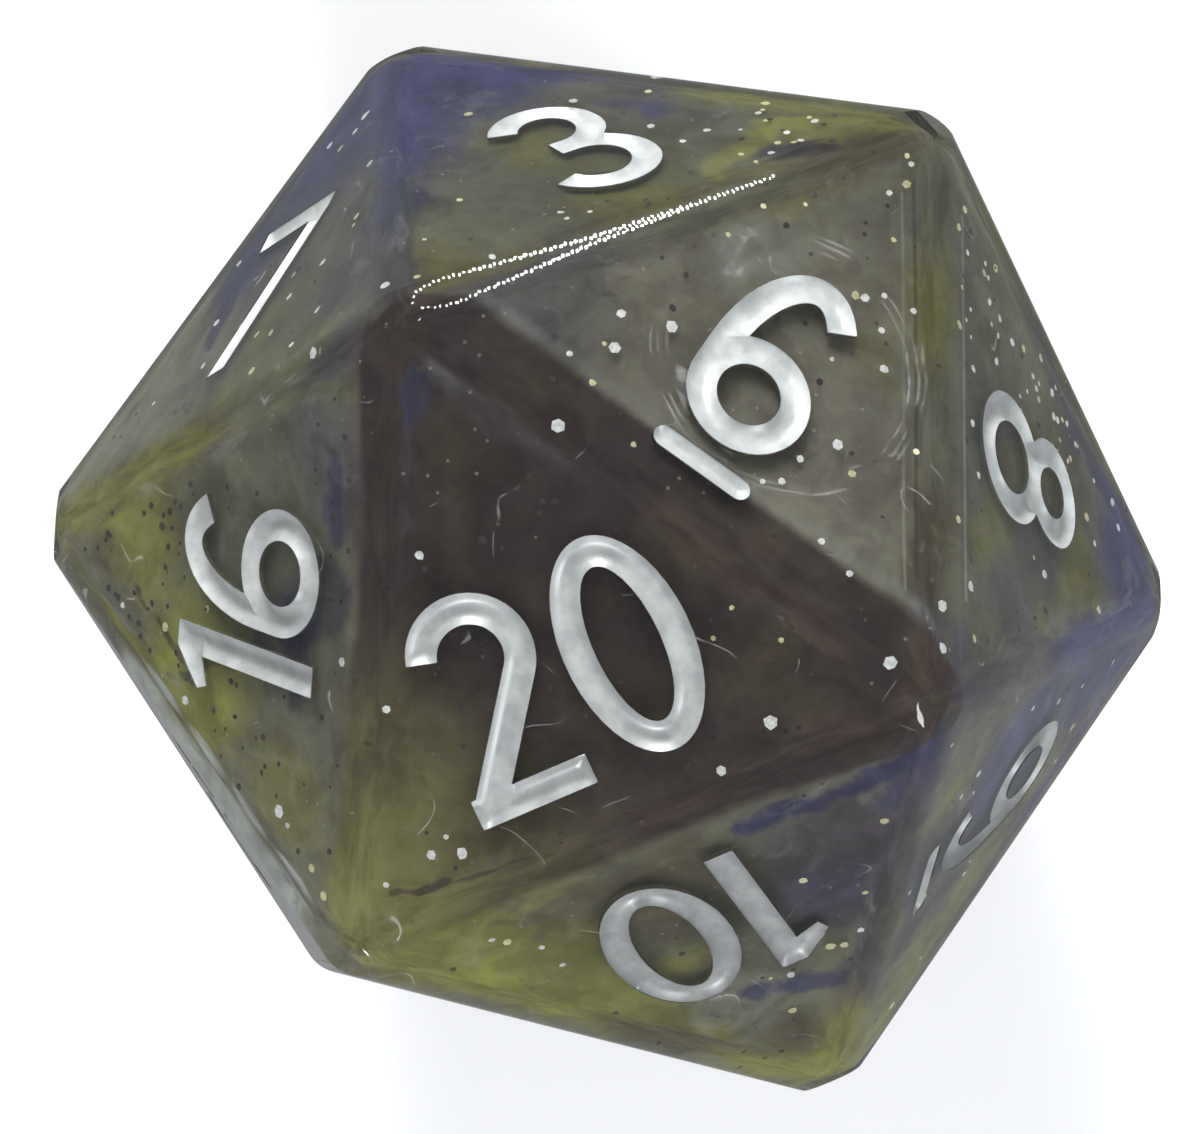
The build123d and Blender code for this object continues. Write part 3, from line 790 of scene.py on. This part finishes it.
def make_paint(node):
    """One number's paint: it clings to the walls and is dished along every line."""
    bm = welded(node)
    bm.normal_update()
    middle = sum((vert.co for vert in bm.verts), Vector()) / len(bm.verts) - centre
    facing = max(face_normals, key=middle.dot)
    right = facing.orthogonal().normalized()
    up = facing.cross(right)
    top = max((vert.co - centre).dot(facing) for vert in bm.verts)
    lid = set()
    for face in bm.faces:
        height = (face.calc_center_median() - centre).dot(facing)
        if face.normal.dot(facing) > 0.9 and height > top - lid_tolerance:
            lid.add(face)
    starts, ends = [], []
    for side in bm.edges:
        if sum(face in lid for face in side.link_faces) == 1:
            a, b = [(vert.co - centre) for vert in side.verts]
            pieces = max(1, round((a - b).length / paint_step))
            for k in range(pieces):
                p, q = a.lerp(b, k / pieces), a.lerp(b, (k + 1) / pieces)
                starts.append((p.dot(right), p.dot(up)))
                ends.append((q.dot(right), q.dot(up)))
    bm.free()
    starts, ends = np.array(starts), np.array(ends)

    keys = {}
    sides = []
    for p, q in zip(starts, ends):
        pair = []
        for point in (p, q):
            key = tuple(np.round(point / same_point).astype(int))
            pair.append(keys.setdefault(key, len(keys)))
        sides.append(pair)
    rim = np.zeros((len(keys), 2))
    for (i, j), p, q in zip(sides, starts, ends):
        rim[i], rim[j] = p, q

    run = ends - starts
    turned = np.stack([-run[:, 1], run[:, 0]], 1)
    turned /= np.maximum(np.linalg.norm(turned, axis=1), 1e-12)[:, None]
    kept = []
    for row in paint_rows:
        for sign in (1, -1):
            tried = (starts + ends) / 2 + turned * row * sign
            good = inside_outline(tried, starts, ends)
            good &= outline_distance(tried, starts, ends) > row * 0.96
            for point in tried[good]:
                if not kept or np.min(np.linalg.norm(np.array(kept) - point, axis=1)) > paint_step * 0.6:
                    kept.append(point)
    points = np.concatenate([rim, np.array(kept)])

    made = delaunay_2d_cdt([Vector(p) for p in points], sides, [], 0, 1e-9)
    flat = np.array([(v.x, v.y) for v in made[0]])
    triangles = np.array(made[2])
    triangles = triangles[inside_outline(flat[triangles].mean(1), starts, ends)]
    share = np.minimum(outline_distance(flat, starts, ends) / half_stroke, 1)
    height = inradius - paint_rim - paint_bowl * (1 - (1 - share) ** 2)
    floor = inradius - paint_depth + 0.01 * MM

    # The outline goes a hair into the resin, where the paint has bitten
    inner_side = inside_outline((starts + ends) / 2 + turned * paint_rim, starts, ends)
    outward = turned * np.where(inner_side, -1, 1)[:, None]
    gaps = np.linalg.norm(flat[:, None] - ((starts + ends) / 2)[None], axis=2)
    nearest = gaps.argmin(1)
    on_rim = share < 1e-6
    flat[on_rim] += outward[nearest[on_rim]] * paint_bite

    mesh_bm = bmesh.new()
    skin, apart = pigment_layers(mesh_bm)
    upper, lower = [], []
    for (x, y), z in zip(flat, height):
        spot = right * x + up * y
        upper.append(mesh_bm.verts.new(centre + spot + facing * z))
        lower.append(mesh_bm.verts.new(centre + spot + facing * floor))
        for vert in (upper[-1], lower[-1]):
            vert[skin] = spot + facing * inradius
            vert[apart] = vert[skin] + facing * face_break
    for i, j, k in triangles:
        mesh_bm.faces.new((upper[i], upper[j], upper[k]))
        mesh_bm.faces.new((lower[k], lower[j], lower[i]))
    mesh_bm.verts.index_update()
    for side in [e for e in mesh_bm.edges if len(e.link_faces) == 1]:
        i, j = side.verts[0].index, side.verts[1].index
        if i % 2 == 0 and j % 2 == 0:
            wall = mesh_bm.faces.new((upper[i // 2], upper[j // 2], lower[j // 2], lower[i // 2]))
            wall.material_index = 1
    loose = [vert for vert in mesh_bm.verts if not vert.link_faces]
    bmesh.ops.delete(mesh_bm, geom=loose, context="VERTS")
    bmesh.ops.recalc_face_normals(mesh_bm, faces=mesh_bm.faces[:])
    for face in mesh_bm.faces:
        face.smooth = True
    for side in mesh_bm.edges:
        side.smooth = side.calc_face_angle(0) < paint_crease
    paint_points.extend(vert.co.copy() for vert in mesh_bm.verts)
    name = node.replace("numeral", "painted_number")
    make_piece(name, mesh_from(mesh_bm, name), paint, "silver_paint", node)
    bpy.data.meshes[name].materials.append(shaded_wall_pigment)


# ---- Pigment, swirls and core -------------------------------------------------------
def face_grid(steps):
    """Even points over the twenty faces, as directions, with their triangles."""
    points, triangles, seen = [], [], {}
    for names in face_corners:
        a, b, c = [corner(name) for name in names]
        if (b - a).cross(c - a).dot(a) < 0:
            b, c = c, b
        index = {}
        for i in range(steps + 1):
            for j in range(steps + 1 - i):
                spot = a + (b - a) * (i / steps) + (c - a) * (j / steps)
                key = tuple(round(value / (0.001 * MM)) for value in spot)
                if key not in seen:
                    seen[key] = len(points)
                    points.append(spot)
                index[i, j] = seen[key]
        for i in range(steps):
            for j in range(steps - i):
                triangles.append((index[i, j], index[i + 1, j], index[i, j + 1]))
                if i + j < steps - 1:
                    triangles.append((index[i + 1, j], index[i + 1, j + 1], index[i, j + 1]))
    return points, triangles


def pigment_layers(bm):
    """Where each vertex lies under the die's faces, and that place set apart by face."""
    layers = bm.verts.layers.float_vector
    return layers.new("skin"), layers.new("spot")


cloud_steps = 48
cloud_softness = 90                # a lower power rounds the edges more
lump_size = 2.2 * MM
lump_height = 0.06 * MM


def make_cloud():
    """The pigment's skin: the die's own shape, shrunk, softened and a little lumpy."""
    points, triangles = face_grid(cloud_steps)
    normals = np.array(face_normals)
    bm = bmesh.new()
    skin, apart = pigment_layers(bm)
    for spot in points:
        direction = spot.normalized()
        shares = np.maximum(normals @ np.array(direction), 0) ** cloud_softness
        reach = 1 / shares.sum() ** (1 / cloud_softness)
        lump = noise.noise(spot / lump_size) * lump_height
        vert = bm.verts.new(centre + direction * (reach * (inradius - cloud_depth) + lump))
        vert[skin] = direction * reach * inradius
        facing = Vector(normals.T @ shares / shares.sum()).normalized()
        vert[apart] = vert[skin] + facing * face_break
    bm.verts.ensure_lookup_table()
    for triangle in triangles:
        bm.faces.new([bm.verts[i] for i in triangle]).smooth = True
    mesh = mesh_from(bm, "pigment_cloud")
    make_piece("pigment_cloud", mesh, cloud_material("pigment_cloud", 1.0), "clear_resin")


ripple_share = 0.35                # a ripple's size and height, of its wave's


def make_wavy(node, name, material, slot, wave, size, seed):
    """A CAD solid's surface drawn about by noise, as pigment is in the pour."""
    bm = welded(node)
    bmesh.ops.recalc_face_normals(bm, faces=bm.faces[:])
    bm.normal_update()
    shift = Vector((seed * 3.7, seed * 1.3, seed * 2.1))
    moved = []
    for vert in bm.verts:
        push = noise.noise_vector(vert.co / size + shift)
        ripple = noise.noise(vert.co / (size * ripple_share) + shift)
        moved.append(vert.co + push * wave + vert.normal * ripple * wave * ripple_share)
    for vert, place in zip(bm.verts, moved):
        vert.co = place
    for face in bm.faces:
        face.smooth = True
    make_piece(name, mesh_from(bm, name), material, slot, node)


# ---- Glitter ------------------------------------------------------------------------
flake_thickness = 0.014 * MM
flake_tip = 0.25                   # how far a flake's normal may lean off its face's
paint_clearance = 0.30 * MM
least_weight = 0.05                # keeps flakes off a face's edges
favour_reach = 8 * MM


def flake(bm, place, normal, radius, chance):
    """A foil flake: an uneven six-sided chip."""
    side = normal.orthogonal().normalized()
    other = normal.cross(side)
    start = chance.uniform(0, 2 * pi)
    rims = []
    reaches = [radius * chance.uniform(0.8, 1.12) for _ in range(6)]
    for level in (-0.5, 0.5):
        ring = []
        for k, reach in enumerate(reaches):
            angle = start + k * pi / 3
            spot = side * cos(angle) * reach + other * sin(angle) * reach
            ring.append(bm.verts.new(place + spot + normal * level * flake_thickness))
        rims.append(ring)
    bm.faces.new(reversed(rims[0]))
    bm.faces.new(rims[1])
    for k in range(6):
        nxt = (k + 1) % 6
        bm.faces.new((rims[0][k], rims[0][nxt], rims[1][nxt], rims[1][k]))


def clear_of_paint(place):
    return min((place - point).length_squared for point in paint_points) > paint_clearance**2


bright_depth = 0.22 * MM
bright_sizes = (0.11 * MM, 0.15 * MM)
# The brightest flakes, near corners and edges
bright_spots = (
    dict(no_bc=1, a=10, ab=0),
    dict(ca=2, c=0, a=8),
    dict(ab=3, a=5, b=2),
    dict(ab=2, a=6, b=2),
    dict(ab=2, a=5, b=3),
    dict(ab=3, a=2, b=5),
    dict(a=7, b=3, c=0),
    dict(a=1, b=8, c=0),
    dict(a=1, b=7, c=2),
    dict(a=1, b=2, c=7),
    dict(no_ca=1, b=8, ab=2),
    dict(no_ca=0, b=5, ab=1),
    dict(no_ca=0, b=9, ab=1),
    dict(ca=2, c=7, a=1),
    dict(no_bc=5, a=0, ab=5),
    dict(bc=3, b=4, c=3),
)


def make_glitter(name, node, material, slot, count, sizes, depths, seed, favour, spots=()):
    """Scatters flakes under the faces. favour weights them towards a place in the die."""
    chance = random.Random(seed)
    bm = bmesh.new()
    for weights in spots:
        normal = sum((corner(n.replace("no_", "-")) for n in weights), Vector()).normalized()
        place = centre + between(**weights)
        place -= normal * ((place - centre).dot(normal) - inradius + bright_depth)
        if clear_of_paint(place):
            flake(bm, place, normal, chance.uniform(*bright_sizes), chance)
    placed = 0
    while placed < count:
        names = chance.choice(face_corners)
        a, b, c = [corner(n) for n in names]
        p, q = sorted((chance.random(), chance.random()))
        weights = (p, q - p, 1 - q)
        spot = a * weights[0] + b * weights[1] + c * weights[2]
        normal = (a + b + c).normalized()
        keep = min(1.0, (favour - spot).length / favour_reach)
        if min(weights) < least_weight or chance.random() > 1.15 - keep:
            continue
        depth = chance.uniform(*depths)
        place = centre + spot - normal * depth
        if not clear_of_paint(place):
            continue
        tip = Vector([chance.uniform(-1, 1) for _ in range(3)]) * flake_tip
        flake(bm, place, (normal + tip).normalized(), chance.uniform(*sizes), chance)
        placed += 1
    make_piece(name, mesh_from(bm, name), material, slot, *([node] if node else []))


# ---- Put together -------------------------------------------------------------------
make_casting()
paint = paint_material()
# The walls round the numbers take the pigment, darkened as painted shade
shaded_wall_pigment = cloud_material("shaded_wall", 0.9)
for number in range(1, 21):
    make_paint(f"numeral_{number:02d}")
make_cloud()

violet_streaks = swirl_material("violet_streaks", violet, indigo)
olive_streaks = swirl_material("olive_streaks", lime, olive)
for number in range(1, 6):
    for shade, streaks in (("violet", violet_streaks), ("olive", olive_streaks)):
        make_wavy(
            f"{shade}_swirl_{number}", f"{shade}_ribbon_{number}", streaks,
            f"{shade}_resin", 0.9 * MM, 2.6 * MM, number + len(shade),
        )
smoke = swirl_material("brown_smoke", dusk, umber)
make_wavy("smoky_core", "smoky_heart", smoke, "smoky_resin", 1.0 * MM, 2.4 * MM, 5)

silver = foil_material("silver_foil", (0.92, 0.93, 0.92), 0.1, 0.35)
gold = foil_material("gold_foil", (0.75, 0.74, 0.42), 0.15, 0.35)
dark = foil_material("dark_foil", (0.034, 0.028, 0.026), 0.0, 0.6)
bright_side = between(ab=5, no_ca=1)
olive_side = between(ca=4, c=3)
make_glitter("silver_flakes", "silver_glitter", silver, "silver_foil", 210,
             (0.05 * MM, 0.11 * MM), (0.03 * MM, 0.4 * MM), 3, bright_side, bright_spots)
make_glitter("gold_flakes", "gold_glitter", gold, "gold_foil", 140,
             (0.05 * MM, 0.11 * MM), (0.1 * MM, 0.42 * MM), 4, bright_side)
make_glitter("dark_flakes", "dark_glitter", dark, "dark_foil", 520,
             (0.04 * MM, 0.09 * MM), (0.2 * MM, 0.45 * MM), 5, olive_side)

# ---- The lamp that the polished band mirrors ----------------------------------------
lamp_distance = 14 * MM
lamp_start = 0.6 * MM              # of its image, from corner a along the band
lamp_length = 8.4 * MM
lamp_half_width = 0.34 * MM
bead_gap = 0.11 * MM
bead_radius = 0.034 * MM
lamp_strength = 60.0
head_share = 0.10                  # of the loop's length, to its widest place
neck_share = 0.48                  # and to where it has almost closed
neck_width = 0.24                  # of the widest place
tail_width = 0.05


def lamp_profile(share):
    """The image's half width along its length: a round head and a long closing tail."""
    if share < head_share:
        return sqrt(1 - (1 - share / head_share) ** 2)
    if share < neck_share:
        return 1 - (1 - neck_width) * (share - head_share) / (neck_share - head_share)
    return max(tail_width, neck_width - (neck_width - tail_width) * (share - neck_share) / 0.30)


def make_lamp():
    """A looped string of bulbs, out of the camera's sight and seen only as a highlight."""
    along = (corner("ab") - corner("a")).normalized()
    middle = (corner("a") + corner("ab")) / 2
    facing = middle.normalized()
    across = along.cross(facing)
    lean = sqrt((middle.length / inradius) ** 2 - 1)
    start = centre + corner("a") - facing * band_width / 2 * lean
    bm = bmesh.new()
    bulbs = int(lamp_length / bead_gap)
    for k in range(bulbs + 1):
        share = k / bulbs
        for sign in (-1, 1):
            spot = start + along * (lamp_start + share * lamp_length)
            spot += across * sign * lamp_half_width * lamp_profile(share)
            ray = (spot - camera.location).normalized()
            mirrored = ray - facing * 2 * ray.dot(facing)
            bulb = Matrix.Translation(spot + mirrored * lamp_distance)
            size = bead_radius * (0.75 + 0.55 * sin(pi * min(1.0, share * 1.15)))
            bulb.translation += across * (k % 2 - 0.5) * bead_radius
            bmesh.ops.create_icosphere(bm, subdivisions=1, radius=size, matrix=bulb)
    mesh = mesh_from(bm, "highlight_lamp")
    tree = Tree("lamp_bulbs")
    tree.set(Base_Color=(0, 0, 0), Emission_Color=(1, 1, 1), Emission_Strength=lamp_strength)
    tree.material.cycles.emission_sampling = "NONE"
    mesh.materials.append(tree.material)
    lamp = bpy.data.objects.new("highlight_lamp", mesh)
    scene.collection.objects.link(lamp)
    lamp.visible_camera = False
    lamp.visible_diffuse = False
    lamp.visible_transmission = False
    lamp.visible_shadow = False


make_lamp()

# ---- Floor --------------------------------------------------------------------------
floor_half = 0.6
floor_bm = bmesh.new()
bmesh.ops.create_grid(floor_bm, x_segments=24, y_segments=24, size=floor_half)
floor_mesh = mesh_from(floor_bm, "studio_floor")
floor_mesh.materials.append(floor_material())
floor = bpy.data.objects.new("studio_floor", floor_mesh)
scene.collection.objects.link(floor)
floor.visible_glossy = False
floor.visible_diffuse = False
